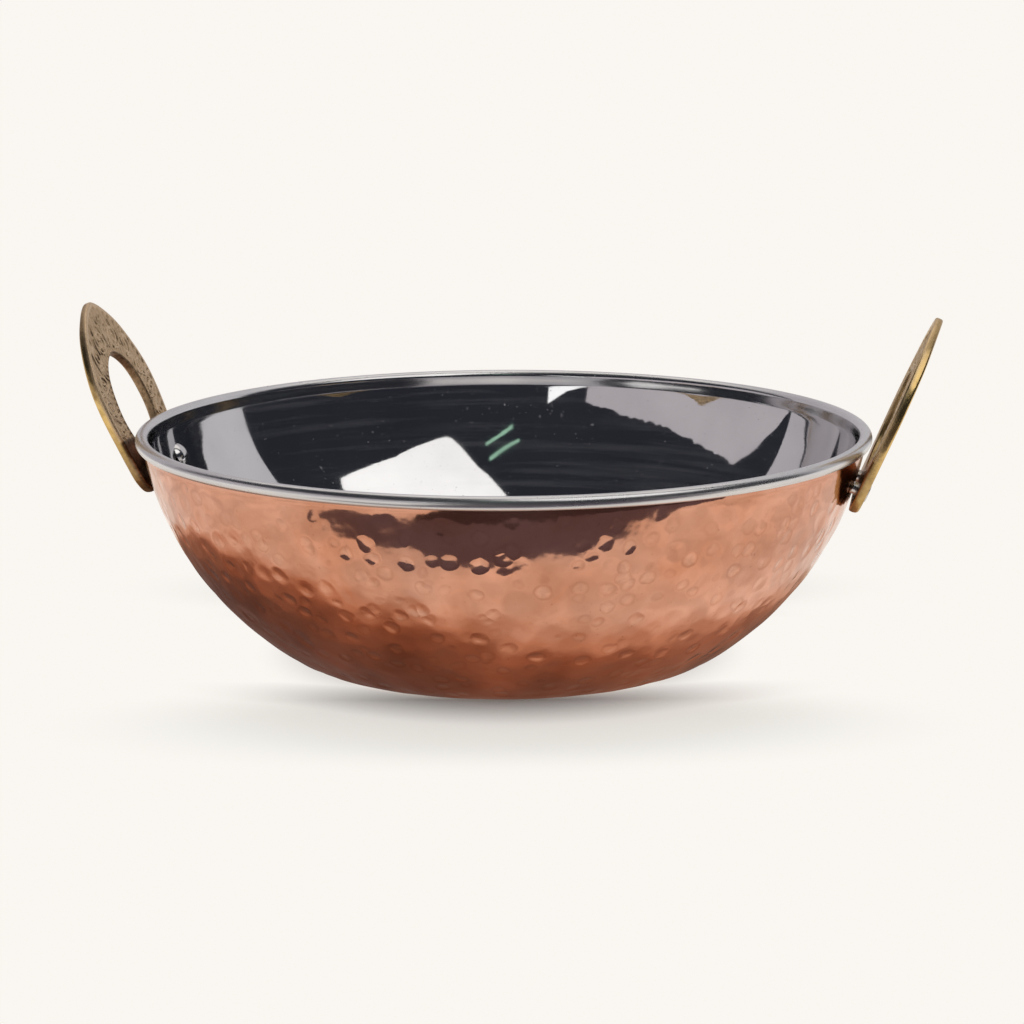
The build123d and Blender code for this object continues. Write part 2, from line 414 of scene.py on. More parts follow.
def vine(run_along, sway):
    """The vine on a bar: where along the bar, and how far from its middle line, both in millimetres."""
    wave = 15.0
    half = wave / 2
    height = ridge(sway - 1.9 * np.sin(2 * math.pi * run_along / wave), 0.7)
    nearest = np.round(run_along / half - 0.5)
    bend = np.where(nearest % 2 == 0, 1.0, -1.0)
    x = run_along - (nearest + 0.5) * half
    height = np.maximum(height, curl(x, bend * sway - 0.1, 1.6, 2.5, 0.6))
    node = np.round(run_along / half)
    lean = np.where(node % 2 == 0, 1.0, -1.0)
    x = run_along - node * half
    for reach, spread, slant in ((4.6, 0.95, 66), (4.0, 0.9, 24), (3.2, 0.8, -20)):
        leaf = tilted(x, -lean * sway, (0.1, 0.2), -slant)
        height = np.maximum(height, drop(leaf[0], leaf[1], reach, spread))
    return height


def feather(run_along, sway):
    """The ground between the leaves: slanted strokes like a feather's barbs, bent by the way across."""
    return 0.5 + 0.5 * np.cos(2 * math.pi * (run_along - 0.75 * sway - 0.07 * sway ** 2) / 2.3)


def crest(across, along):
    """The ornament over the hole: a curl on each side and a bud with leaves that fill the point."""
    x = np.abs(across)
    height = curl(x - 5.9, along - 43.2, 2.1, 4.1, 0.8)
    for middle, slant, length, width in (
            ((0, 40.6), 0, 9.5, 1.6), ((0.9, 41.0), -42, 4.2, 0.9), ((0.7, 44.6), -50, 4.4, 0.85),
            ((0.6, 47.4), -42, 3.8, 0.75), ((9.6, 39.6), -4, 5.2, 0.9), ((8.6, 45.2), 22, 3.2, 0.7),
            ((3.4, 40.2), -80, 4.0, 0.8), ((11.6, 38.6), 8, 3.6, 0.7)):
        u, v = tilted(x, along, middle, slant)
        height = np.maximum(height, drop(u, v, length, width))
    return height


# %% The height of the relief
def relief_depth(across, along, to_outline, to_hole, run_along, sway):
    """How far the cast face lies under the plate's plane: nothing on the plain border, most on the
    ground, and little on the ornament, which swaps from vine to crest above the finger hole."""
    over_hole = smoothstep(37.0, 39.5, along) * (1 - smoothstep(11.5, 13.5, np.abs(across)))
    ornament = (1 - over_hole) * vine(run_along, sway) + over_hole * crest(across, along)
    border = np.maximum(1 - smoothstep(0.9, 1.9, to_outline), 1 - smoothstep(0.2, 0.9, to_hole))
    plain_foot = 1 - smoothstep(15.6, 16.6, along + 0.3 * np.sin(2 * across))
    ground = 0.46 - 0.18 * feather(run_along, sway)
    return ground * (1 - 0.85 * np.clip(ornament, 0, 1)) * (1 - np.maximum(border, plain_foot))


# %% Across the bar
face_rows, back_rows = 54, 22
edge_round = 0.6
vine_half = 3.4
tip_thinner = 0.5


def bar_section():
    """Once round the bar's section, as shares and distances: (share across the bar, distance added
    to it, share of the thickness, distance added to it). The face first, then the outer edge, the
    back and the hole's edge, with quarter circles between them."""
    e, q = edge_round, np.radians(np.array([22.5, 45, 67.5, 90]))
    down, zero, one = q[::-1], 0 * q, 1 + 0 * q
    face = np.linspace(0, 1, face_rows)
    back = 1 - np.linspace(0, 1, back_rows) ** 1.5
    rows = [(face, e * (1 - 2 * face), 0 * face, 0 * face),
            (one, e * (np.sin(q) - 1), zero, e * (1 - np.cos(q))),
            ([1], [0], [0.5], [0]),
            (one, e * (np.sin(down) - 1), one, -e * (1 - np.cos(down))),
            (back, e * (1 - 2 * back), 1 + 0 * back, 0 * back),
            (zero, e * (1 - np.sin(q)), one, -e * (1 - np.cos(q))),
            ([0], [0], [0.5], [0]),
            (zero, e * (1 - np.sin(down)), zero, e * (1 - np.cos(down)))]
    return np.concatenate([np.stack(row, -1) for row in rows])


section = bar_section()
share, add, up_share, up_add = (section[:, i:i + 1] for i in range(4))
from_hole = share * bar_width + add
reach = hole_at + from_hole
across = eye[0] + reach * np.cos(turn)
along = eye[1] + reach * np.sin(turn)


def squareness(edge_at):
    """How square an edge stands to the directions from the hole's middle: the cosine of the slant."""
    change = np.gradient(edge_at, turn)
    return edge_at / np.hypot(edge_at, change)


to_outline = (outline_at - reach) * squareness(outline_at)
to_hole = (reach - hole_at) * squareness(hole_at)
middle_line = (outline_at + hole_at) / 2
from_foot = np.abs((turn + math.pi / 2 + math.pi) % (2 * math.pi) - math.pi)
order = np.argsort(from_foot)
step = np.hypot(np.gradient(middle_line[order], from_foot[order] + 1e-9 * order), middle_line[order])
length = np.concatenate([[0], np.cumsum(np.diff(from_foot[order]) * (step[1:] + step[:-1]) / 2)])
run_along = np.empty(bar_columns)
run_along[order] = length
sway = (from_hole / bar_width - 0.5) * 2 * vine_half
on_face = (up_share == 0) & (up_add == 0)
depth = relief_depth(across, along, to_outline, to_hole, run_along[None, :] + 0 * reach, sway) * on_face
thickness = handle_thickness - tip_thinner * smoothstep(40, 54, along)
foot_limit = handle_thickness - foot_round + np.sqrt(
    np.clip(foot_round ** 2 - np.clip(foot_round - along, 0, None) ** 2, 0, None))
out = np.minimum(up_share * thickness + up_add + depth, np.where(along < foot_round, foot_limit, 99))
steep = np.hypot(np.gradient(depth, axis=0) / np.gradient(from_hole, axis=0),
                 np.gradient(depth, axis=1) / (np.gradient(turn) * reach)) * on_face
inner_side = (up_share == 0) | (share == 0)
# Painted shade: the plain foot, where the plate meets the bowl, is dark all round, on the face and on
# the back.
plain_foot = 1 - smoothstep(15.6, 16.6, along)
face_tone, back_tone, hole_tone, foot_shade_tone = 0.76, 0.66, 0.3, 0.2
face_tone = face_tone - 0.62 * depth - 0.44 * smoothstep(0.35, 1.1, steep)
face_tone = face_tone * (1 - plain_foot) + foot_shade_tone * plain_foot
back_tone = back_tone * (1 - plain_foot) + foot_shade_tone * plain_foot
tone = np.where(on_face, face_tone, np.where(share == 0, hole_tone, back_tone))
# Painted reflection: the polished edges and back are darker and browner towards the tip and the foot,
# for the dark room they mirror there; the ornamented side keeps its full patination.
tip = smoothstep(38, 50, along)
tone = tone - np.where(inner_side, 0, 0.3 * tip)
patina_and_painted_reflection = np.where(inner_side, 1.0, 0.85 * tip + 0.6 * (1 - smoothstep(6, 22, along)))
print(f"relief up to {depth.max():.2f} mm deep, vine {run_along.max():.0f} mm long on each side")

# %% The two handles
handles = {}
# Painted sheen: the right plate keeps only part of its patination, so its face reads golden, for the
# pale room it mirrors at a grazing angle.
for name, side, patina_kept_and_sheen in (("left", -1, 1.0), ("right", 1, 0.6)):
    handles[name] = piece_from_grid(
        f"brass_handle_{name}", on_plate(side, across, along, out), None,
        {"tone": tone, "patina_and_painted_reflection": patina_and_painted_reflection * patina_kept_and_sheen})

# %% [markdown]
# ## The rivets
# Two rivets hold each handle. The factory head is a dome inside the bowl, and the other end is
# hammered to a low disc on the plate. A turned profile gives both ends and the shank in one piece.
# The dome's under-side follows the wall, which curves towards it.

# %% Sizes of the rivets, in millimetres
rivet_spacing, rivet_height = 17.5, 5.0
shank_radius, head_radius, head_height = 1.7, 3.5, 2.0
disc_radius, disc_height, disc_round = 2.5, 0.7, 0.35
seat_clearance = 0.1


def wall_depth(across, along):
    """How far behind the plate's inner face the steel's inside lies: step by step, by the distance
    to it."""
    depth = 0.0
    for _ in range(8):
        x, y, z = on_plate(1, across, along, -depth)
        away = math.hypot(math.hypot(x, y) - wall_centre[0], z - wall_centre[1])
        depth += away - (wall_radius - steel_inner)
    return depth


def rivet_section(seat):
    """The rivet's half section from the dome's top to the disc's top: (distance from its axis, out)."""
    crown = (head_radius ** 2 + head_height ** 2) / (2 * head_height)
    half = math.degrees(math.asin(head_radius / crown))
    top = seat - head_height
    dome = arc(np.array([0, top + crown]), crown, -89, half - 90, 0.25)
    under = seat - seat_clearance - head_radius ** 2 / (2 * wall_radius)
    rim = straight(dome[-1], (head_radius, under), 0.5)
    below = straight(rim[-1], (shank_radius, seat - seat_clearance), 0.5)
    shank = straight(below[-1], (shank_radius, handle_thickness), 2.0)
    flat = straight(shank[-1], (disc_radius, handle_thickness), 0.5)
    side = straight(flat[-1], (disc_radius, handle_thickness + disc_height - disc_round), 0.3)
    edge = arc(np.array([disc_radius - disc_round, side[-1][1]]), disc_round, 0, 90, 0.1)
    face = straight(edge[-1], (0.2, handle_thickness + disc_height), 0.4)
    return chain(dome, rim, below, shank, flat, side, edge, face)


# %% The four rivets
rivets = {}
spin = np.arange(48) * 2 * math.pi / 48
for name, side in (("left", -1), ("right", 1)):
    for place in (-1, 1):
        middle = place * rivet_spacing / 2
        seat = -wall_depth(middle, rivet_height)
        line = rivet_section(seat)
        u = middle + line[:, :1] * np.cos(spin)
        v = rivet_height + line[:, :1] * np.sin(spin)
        ends = [on_plate(side, middle, rivet_height, line[i][1]) for i in (0, -1)]
        row = "front" if side * middle < 0 else "rear"
        rivets[f"{name}_{row}"] = piece_from_grid(
            f"rivet_skin_{name}_{row}", on_plate(side, u, v, line[:, 1:] + 0 * u), ends)
print(f"inner heads sit {-seat:.2f} mm behind the plate's face")


# %% [markdown]
# ## Finishes
# A finish is a small graph of nodes. The helper below adds a node and wires what it is given, so
# each finish reads as a list. Patterns are in Object coordinates, which stay on the metal.

# %% A helper for node graphs
class Finish:
    """A node material with short ways to add and join nodes."""

    def __init__(self, name):
        self.material = bpy.data.materials.new(name)
        self.material.use_nodes = True
        self.tree = self.material.node_tree
        self.tree.nodes.clear()
        self.out = self.tree.nodes.new("ShaderNodeOutputMaterial")

    def add(self, kind, settings=None, **inputs):
        """A node of this kind; inputs are values or other nodes' sockets, named with _ for spaces,
        or i0, i1 and so on for an input by its number."""
        node = self.tree.nodes.new("ShaderNode" + kind)
        for key, value in (settings or {}).items():
            setattr(node, key, value)
        for key, value in inputs.items():
            index = int(key[1:]) if key[0] == "i" and key[1:].isdigit() else key.replace("_", " ")
            socket = node.inputs[index]
            if isinstance(value, bpy.types.NodeSocket):
                self.tree.links.new(value, socket)
            else:
                socket.default_value = value
        return node

    def place(self, scale=(1, 1, 1)):
        """Object coordinates, stretched by scale."""
        source = self.add("TexCoord").outputs["Object"]
        return self.add("Mapping", Vector=source, Scale=scale).outputs[0]

    def noise(self, vector, scale, detail=3.0, roughness=0.5, distortion=0.0):
        """Cloudy noise from 0 to 1; a larger scale makes it finer."""
        return self.add("TexNoise", Vector=vector, Scale=scale, Detail=detail, Roughness=roughness,
                        Distortion=distortion).outputs["Fac"]

    def ramp(self, value, low, high, to_low=0.0, to_high=1.0, kind="LINEAR"):
        """Maps low..high to to_low..to_high, clamped."""
        return self.add("MapRange", {"interpolation_type": kind}, Value=value, From_Min=low,
                        From_Max=high, To_Min=to_low, To_Max=to_high).outputs[0]

    def soft(self, value, low, high, to_low=0.0, to_high=1.0):
        """The same with soft ends: 3t^2 - 2t^3."""
        return self.ramp(value, low, high, to_low, to_high, "SMOOTHSTEP")

    def math(self, operation, a, b=0.0):
        """One sum, product or other operation on two values."""
        return self.add("Math", {"operation": operation}, i0=a, i1=b).outputs[0]

    def blend(self, share, a, b):
        """The colour a turning into b with share."""
        node = self.add("Mix", {"data_type": "RGBA"})
        for socket, value in ((node.inputs[0], share), (node.inputs[6], a), (node.inputs[7], b)):
            if isinstance(value, bpy.types.NodeSocket):
                self.tree.links.new(value, socket)
            else:
                socket.default_value = value if socket.type == "VALUE" else (*value, 1)
        return node.outputs[2]

    def bump(self, height, distance, strength=1.0, normal=None):
        """A normal tilted by the height's slope, on top of another normal if there is one."""
        more = {"Normal": normal} if normal is not None else {}
        return self.add("Bump", Height=height, Distance=distance, Strength=strength, **more).outputs[0]

    def metal(self, **inputs):
        """The shader itself, fully metallic unless told otherwise, wired to the output."""
        return self.show(self.add("BsdfPrincipled", **{"Metallic": 1.0, **inputs}))

    def emit(self, colour, strength=1.0):
        """A plain glow of this colour, a value or a socket, wired to the output."""
        if not isinstance(colour, bpy.types.NodeSocket):
            colour = (*colour, 1)
        return self.show(self.add("Emission", Color=colour, Strength=strength))

    def show(self, shader):
        """Wires the shader to the output and hands back the material."""
        self.tree.links.new(shader.outputs[0], self.out.inputs[0])
        return self.material


# %% [markdown]
# ## Polished steel
# Spun and buffed steel mirrors the room, but not perfectly: the sheet sways a little, the buffing
# leaves faint rings, and use leaves hairlines and specks. So there are three scales of bump and a
# roughness that drifts, all small. Wipes and dust lie on it as a thin film that mirrors nothing, so
# the metal is a little less metallic there. The rolled rim is duller than the bowl.

# %% Polished steel
rim_start, rim_end, rim_dullness = 0.0962, 0.0968, 0.24
wipe_film, dust_film = 0.055, 0.35


def polished_steel():
    """Buffed sheet with faint rings, hairlines, specks, wipes and dust."""
    f = Finish("polished_steel")
    here = f.place()
    sway = f.noise(here, 22, 2.0)
    rings = f.noise(f.place((40, 40, 700)), 1.0, 3.0, 0.6)
    hair = f.noise(f.place((2600, 160, 900)), 1.0, 2.0)
    specks = f.ramp(f.noise(here, 1400, 1.0), 0.74, 0.80)
    normal = f.bump(sway, 0.00012, 0.5)
    normal = f.bump(rings, 0.000006, 0.4, normal)
    normal = f.bump(hair, 0.000004, 0.3, normal)
    rough = f.ramp(f.noise(here, 60, 4.0, 0.6), 0.3, 0.7, 0.02, 0.06)
    rough = f.math("ADD", rough, f.math("MULTIPLY", specks, 0.25))
    axis = f.add("VectorMath", {"operation": "LENGTH"}, i0=f.place((1, 1, 0))).outputs["Value"]
    rough = f.math("ADD", rough, f.ramp(axis, rim_start, rim_end, 0.0, rim_dullness))
    drift = f.ramp(f.noise(here, 35, 3.0), 0.35, 0.65)
    colour = f.blend(drift, (0.64, 0.635, 0.645), (0.73, 0.725, 0.73))
    colour = f.blend(f.math("MULTIPLY", specks, 0.5), colour, (0.35, 0.35, 0.36))
    wiped = f.ramp(f.noise(f.place((13, 13, 380)), 1.0, 4.0, 0.65), 0.48, 0.70)
    wiped = f.math("MULTIPLY", wiped, f.ramp(f.noise(here, 20, 2.0), 0.40, 0.62, 0.15, 1.0))
    dots = f.ramp(f.noise(here, 620, 1.0), 0.72, 0.78)
    dots = f.math("MULTIPLY", dots, f.ramp(f.noise(here, 30, 2.0), 0.45, 0.65))
    film = f.math("ADD", f.math("MULTIPLY", wiped, wipe_film), f.math("MULTIPLY", dots, dust_film))
    metallic = f.math("SUBTRACT", 1.0, film)
    return f.metal(Base_Color=colour, Metallic=metallic, Roughness=rough, Normal=normal)


# %% [markdown]
# ## Hammered copper
# Copper is polished on the high places and a little duller elsewhere, and its colour drifts from
# salmon to red-brown. On the broad marks of the mesh lie the small round ones of a ball hammer, as
# bump: the distance to scattered points in space, cut at a radius, is a dish wherever the surface
# meets one, so they come in many sizes. Each is fainter near the rim; its middle is painted paler, a
# painted highlight, and its edge darker, a painted shade ring.

# %% Hammered copper
dish_cells, dish_depth = 165.0, 0.00028


def hammered_copper():
    """Planished copper with small dishes, each with a painted highlight in the middle and a painted
    shade ring, a drifting colour and dark specks.
    """
    f = Finish("hammered_copper")
    here = f.place()
    stir = f.add("TexNoise", Vector=here, Scale=260.0, Detail=1.0).outputs["Color"]
    stir = f.add("VectorMath", {"operation": "SCALE"}, i0=stir, Scale=0.0016).outputs[0]
    stirred = f.add("VectorMath", {"operation": "ADD"}, i0=here, i1=stir).outputs[0]
    cell = f.add("TexVoronoi", Vector=stirred, Scale=dish_cells, Randomness=0.85).outputs["Distance"]
    dish = f.soft(cell, 0.04, 0.45)
    height = f.add("SeparateXYZ", Vector=here).outputs["Z"]
    kept = f.ramp(height, 0.044, 0.058, 1.0, 0.25)
    kept = f.math("MULTIPLY", kept, f.ramp(f.noise(here, 75, 1.0), 0.36, 0.62, 0.38, 1.0))
    drift = f.noise(here, 55, 4.0, 0.55, 0.4)
    colour = f.blend(f.ramp(drift, 0.3, 0.7), (0.71, 0.37, 0.26), (0.60, 0.265, 0.16))
    # Painted shade: a dark ring round the edge of each dish.
    ring = f.math("MULTIPLY", f.ramp(dish, 0.5, 0.85), f.ramp(dish, 0.88, 1.0, 1.0, 0.0))
    ring = f.math("MULTIPLY", ring, kept)
    colour = f.blend(f.math("MULTIPLY", ring, 0.22), colour, (0.34, 0.13, 0.07))
    # Painted highlight: the middle of each dish is paler.
    inside = f.math("MULTIPLY", f.ramp(dish, 0.8, 0.3), kept)
    colour = f.blend(f.math("MULTIPLY", inside, 0.26), colour, (0.84, 0.50, 0.37))
    specks = f.ramp(f.noise(here, 900, 2.0), 0.70, 0.78)
    colour = f.blend(f.math("MULTIPLY", specks, 0.4), colour, (0.22, 0.09, 0.06))
    rough = f.ramp(f.noise(here, 90, 4.0, 0.6), 0.3, 0.7, 0.07, 0.13)
    normal = f.bump(dish, dish_depth, kept)
    normal = f.bump(f.noise(here, 150, 2.0), 0.00020, 0.7, normal)
    normal = f.bump(f.noise(here, 900, 3.0), 0.00001, 0.3, normal)
    return f.metal(Base_Color=colour, Roughness=rough, Normal=normal)


# %% [markdown]
# ## Cast brass
# The ornamented side is patinated brown and rubbed back: the high places are pale, and the dark stays
# in the steep flanks. The plain foot is painted dark all round, a painted shade where the plate meets
# the bowl. The outer edge and the back are polished and golden along the middle, with the slight pits
# of a casting, and painted browner towards the tip and the foot, a painted dark reflection. The right
# plate keeps less patination, a painted sheen on its face.

# %% Cast brass
def cast_brass():
    """Cast brass between gold and antique brown, by the plate's own tone and by a share that is the
    patination on the ornamented side and a painted dark reflection on the edges near the tip and the
    foot.
    """
    f = Finish("cast_brass")
    here = f.place()
    tone = f.add("Attribute", {"attribute_name": "tone"}).outputs["Fac"]
    patina_and_painted_reflection = f.add("Attribute", {"attribute_name": "patina_and_painted_reflection"}).outputs["Fac"]
    blotch = f.noise(here, 160, 4.0, 0.6)
    rubbed = f.math("ADD", tone, f.ramp(blotch, 0.3, 0.7, -0.10, 0.10))
    rubbed = f.math("ADD", rubbed, f.ramp(f.noise(here, 1100, 2.0), 0.3, 0.7, -0.08, 0.08))
    gold = f.blend(f.ramp(f.noise(here, 60, 3.0), 0.3, 0.7), (0.80, 0.57, 0.24), (0.60, 0.40, 0.14))
    grime = f.ramp(f.noise(here, 420, 3.0), 0.50, 0.75)
    gold = f.blend(f.math("MULTIPLY", grime, 0.45), gold, (0.16, 0.10, 0.04))
    middle = f.blend(f.ramp(rubbed, 0.12, 0.5), (0.10, 0.058, 0.03), (0.60, 0.43, 0.26))
    antique = f.blend(f.ramp(rubbed, 0.5, 0.85), middle, (0.76, 0.58, 0.39))
    # The second value is patination on the ornamented side and a painted dark reflection on the edges.
    colour = f.blend(patina_and_painted_reflection, gold, antique)
    rough = f.ramp(blotch, 0.3, 0.7, 0.14, 0.24)
    rough = f.math("ADD", rough, f.math("MULTIPLY", patina_and_painted_reflection, 0.28))
    pits, lumps = f.noise(here, 800, 2.0), f.noise(here, 220, 2.0)
    normal = f.bump(pits, 0.00003, 0.5, f.bump(lumps, 0.00012, 0.6))
    return f.metal(Base_Color=colour, Roughness=rough, Normal=normal)


# %% Rivet steel
def rivet_steel():
    """Plain steel, a little duller than the bowl."""
    f = Finish("rivet_steel")
    here = f.place()
    rough = f.ramp(f.noise(here, 300, 3.0), 0.3, 0.7, 0.10, 0.2)
    colour = f.blend(f.ramp(f.noise(here, 240, 3.0), 0.35, 0.65), (0.62, 0.61, 0.61), (0.72, 0.71, 0.71))
    normal = f.bump(f.noise(here, 500, 2.0), 0.00006, 0.5)
    return f.metal(Base_Color=colour, Roughness=rough, Normal=normal)


# %% Every piece gets its finish and its place in the frame
def dress(piece, node, material):
    """The piece stands for a node of the construction model, which is hidden, rides with the root body
    and takes its finish.
    """
    piece.data.materials.append(material)
    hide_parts(node)
    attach(piece, "root")


brass, rivet_finish = cast_brass(), rivet_steel()
dress(steel_bowl, "steel_bowl", polished_steel())
dress(copper_shell, "copper_shell", hammered_copper())
for name, piece in handles.items():
    dress(piece, f"handle_{name}", brass)
for name, piece in rivets.items():
    dress(piece, f"rivet_{name}", rivet_finish)
print("pieces dressed:", 2 + len(handles) + len(rivets))


# %% [markdown]
# ## The studio
# Polished metal shows the room more than itself. The room here is a pale floor and a pale
# background, which the metal mirrors too. The floor's shadow is turned to the photograph's side by a
# fixed angle, and stays there when the camera moves.

# %% The pale floor and background
pale = (0.956, 0.921, 0.879)
camera_azimuth = 9.4
shadow_middle, shadow_deep, shadow_wide = 0.076, 0.042, 0.118


def pale_floor():
    """The floor takes the bowl's shadow close round the foot and in a wide patch in front and behind,
    and turns into the background's colour round them, as in a studio photograph with a lit table."""
    f = Finish("pale_floor")
    where = f.add("TexCoord").outputs["Object"]
    facing = f.add("Mapping", Vector=where, Rotation=(0, 0, math.radians(-camera_azimuth))).outputs[0]
    axes = f.add("SeparateXYZ", Vector=facing).outputs
    front = f.math("ABSOLUTE", axes["Y"])
    deep = f.math("DIVIDE", f.math("SUBTRACT", front, shadow_middle), shadow_deep)
    wide = f.math("DIVIDE", axes["X"], shadow_wide)
    patch = f.math("SQRT", f.math("ADD", f.math("MULTIPLY", deep, deep), f.math("MULTIPLY", wide, wide)))
    broad = f.soft(patch, 0.45, 1.05, 0.40, 0.0)
    away = f.add("VectorMath", {"operation": "LENGTH"}, i0=where).outputs["Value"]
    foot = f.soft(away, 0.052, 0.100, 0.90, 0.0)
    foot = f.math("MULTIPLY", foot, f.ramp(front, 0.034, 0.053))
    contact = f.soft(away, 0.048, 0.070, 0.34, 0.0)
    fade = f.math("SUBTRACT", 1.0, f.math("MAXIMUM", f.math("MAXIMUM", broad, foot), contact))
    # Painted shade colour: the floor is bluer and greener close round the foot, so the bowl's shadow
    # there reads grey-green rather than warm.
    tint = f.blend(f.ramp(away, 0.055, 0.08), (0.74, 0.93, 0.96), (0.86, 0.93, 0.88))
    lit = f.add("BsdfDiffuse", Color=tint, Roughness=0.0)
    shine = f.add("Emission", Color=(*pale, 1), Strength=1.0)
    return f.show(f.add("MixShader", i0=fade, i1=lit.outputs[0], i2=shine.outputs[0]))


def flat_card(name, corners, material):
    """A flat sheet between four corners, part of the studio."""
    mesh = bpy.data.meshes.new(name)
    mesh.from_pydata([tuple(c) for c in corners], [], [(0, 1, 2, 3)])
    mesh.materials.append(material)
    card = bpy.data.objects.new(name, mesh)
    bpy.context.scene.collection.objects.link(card)
    return card


flat_card("floor", [(-4, -4, 0), (4, -4, 0), (4, 4, 0), (-4, 4, 0)], pale_floor())


# %% The room's light
def room_light():
    """The background's colour where the camera and the metal look, and plain soft light otherwise."""
    world = bpy.data.worlds.new("room")
    world.use_nodes = True
    tree = world.node_tree
    tree.nodes.clear()
    rays = tree.nodes.new("ShaderNodeLightPath")
    seen = tree.nodes.new("ShaderNodeMath")
    seen.operation = "MAXIMUM"
    tree.links.new(rays.outputs["Is Camera Ray"], seen.inputs[0])
    glossy = tree.nodes.new("ShaderNodeMath")
    glossy.operation = "MAXIMUM"
    tree.links.new(rays.outputs["Is Glossy Ray"], glossy.inputs[0])
    tree.links.new(rays.outputs["Is Transmission Ray"], glossy.inputs[1])
    tree.links.new(glossy.outputs[0], seen.inputs[1])
    backdrop = tree.nodes.new("ShaderNodeBackground")
    backdrop.inputs[0].default_value = (*pale, 1)
    backdrop.inputs[1].default_value = 1.0
    soft = tree.nodes.new("ShaderNodeBackground")
    soft.inputs[0].default_value = (1, 1, 1, 1)
    soft.inputs[1].default_value = 0.8
    mix = tree.nodes.new("ShaderNodeMixShader")
    tree.links.new(seen.outputs[0], mix.inputs[0])
    tree.links.new(soft.outputs[0], mix.inputs[1])
    tree.links.new(backdrop.outputs[0], mix.inputs[2])
    out = tree.nodes.new("ShaderNodeOutputWorld")
    tree.links.new(mix.outputs[0], out.inputs[0])
    bpy.context.scene.world = world


room_light()


# %% Lamps
def lamp(name, place, target, size, power):
    """A square soft lamp that points from its place at a target."""
    data = bpy.data.lights.new(name, "AREA")
    data.shape = "RECTANGLE"
    data.size, data.size_y = size
    data.energy = power
    light = bpy.data.objects.new(name, data)
    light.location = place
    light.rotation_mode = "QUATERNION"
    light.rotation_quaternion = (Vector(target) - Vector(place)).to_track_quat("-Z", "Y")
    bpy.context.scene.collection.objects.link(light)
    light.visible_glossy = False


lamp("lamp_over", (-0.1, -0.2, 1.3), (0, 0, 0.03), (1.0, 1.0), 4.0)


# %% [markdown]
# ## What the metal mirrors
# The photograph's main reflections were followed back from their edges: the bowl's inside sees a dark
# room over the front, a white ceiling panel, grey walls behind, a grey screen at the left, a small
# window and two tubes, and the copper sees the table's dark edge in front. Each is a card on a large
# ball round the bowl or on the table, seen in reflections only, so the lamp and the floor's shadow
# don't change.

# %% Cards on the ball
ball_middle = np.array([0, 0, 0.05])
card_rows = 9


def mirror_only(card):
    """The card shows in reflections and nowhere else."""
    card.visible_camera = card.visible_diffuse = card.visible_shadow = False
    card.visible_transmission = card.visible_volume_scatter = False


def glow(name, colour, strength=1.0):
    """A material that glows evenly in one colour."""
    return Finish(name).emit(colour, strength)


def sky_card(name, turns, low, high, material, distance=1.2, wobble=0.0):
    """A card on a ball round the bowl: from the first turn to the last (0 is the front, 90 the right),
    between a lower and an upper height in degrees, each given at its own places along the turns."""
    count = max(2, int(abs(turns[-1] - turns[0]) / 1.5))
    turn = np.linspace(turns[0], turns[-1], count)
    order = np.argsort(turns)
    at = [np.interp(turn, np.array(turns)[order], np.array(edge, float)[order]) for edge in (low, high)]
    at[1] = at[1] + wobble * rng.uniform(-1, 1, count)
    rows = np.linspace(0, 1, card_rows)[:, None]
    height = np.radians(at[0] + (at[1] - at[0]) * rows)
    turn = np.radians(turn) + 0 * height
    flat = np.cos(height)
    points = np.stack([np.sin(turn) * flat, -np.cos(turn) * flat, np.sin(height)], -1)
    points = points * distance + ball_middle
    first = np.arange(card_rows - 1)[:, None] * count + np.arange(count - 1)
    quads = first[..., None] + np.array([0, 1, count + 1, count])
    mesh = bpy.data.meshes.new(name)
    mesh.from_pydata(points.reshape(-1, 3).tolist(), [], quads.reshape(-1, 4).tolist())
    mesh.materials.append(material)
    card = bpy.data.objects.new(name, mesh)
    bpy.context.scene.collection.objects.link(card)
    mirror_only(card)


# %% The room
night = glow("dark_room", (0.026, 0.028, 0.036))
sky_card("room_front", [-107.5, 112.5], [-6, -6], [80, 80], night, 1.30)


def back_walls():
    """The grey walls behind, a little darker on the left, with a soft change in the middle."""
    f = Finish("back_walls")
    across = f.add("SeparateXYZ", Vector=f.add("TexCoord").outputs["Object"]).outputs["X"]
    return f.emit(f.blend(f.ramp(across, -0.6, 0.6), (0.53, 0.50, 0.52), (0.62, 0.605, 0.62)))


sky_card("walls", [112.5, 165, 195, 252.5], [-2] * 4, [52, 52, 46, 46], back_walls(), 1.28)
sky_card("panel", [8, 21, 31, 33, 57, 86, 89],
         [61, 49, 35, 34, 39, 39, 42], [66, 74, 76, 76, 74, 66, 60],
         glow("white_panel", (1.0, 0.985, 0.96), 1.3), 1.2)
sky_card("screen", [-106, -99, -90, -71, -57, -38, -21], [-4] * 7, [5, 13, 25, 25, 24, 23, 19],
         glow("grey_screen", (0.54, 0.50, 0.52)), 1.25, 0.5)
sky_card("window", [-20, -7], [3, 13], [11, 21], glow("window", (1.0, 1.0, 1.0), 1.3), 1.2)
tube = glow("tube", (0.42, 0.72, 0.52))
sky_card("tube_low", [6, 17], [30.3, 38.3], [31.9, 39.9], tube, 1.2)
sky_card("tube_high", [3, 16], [36.3, 44.3], [37.9, 45.9], tube, 1.2)

# %% The table round the foot, with its painted shadow
rings_middle = (-0.027, 0.030, 0)
shade_lift, edge_lift = 0.0006, 0.0008


def table_card(name, corners, lift, material):
    """A flat card just over the table, seen in reflections only."""
    mirror_only(flat_card(name, [(x, y, lift) for x, y in corners], material))


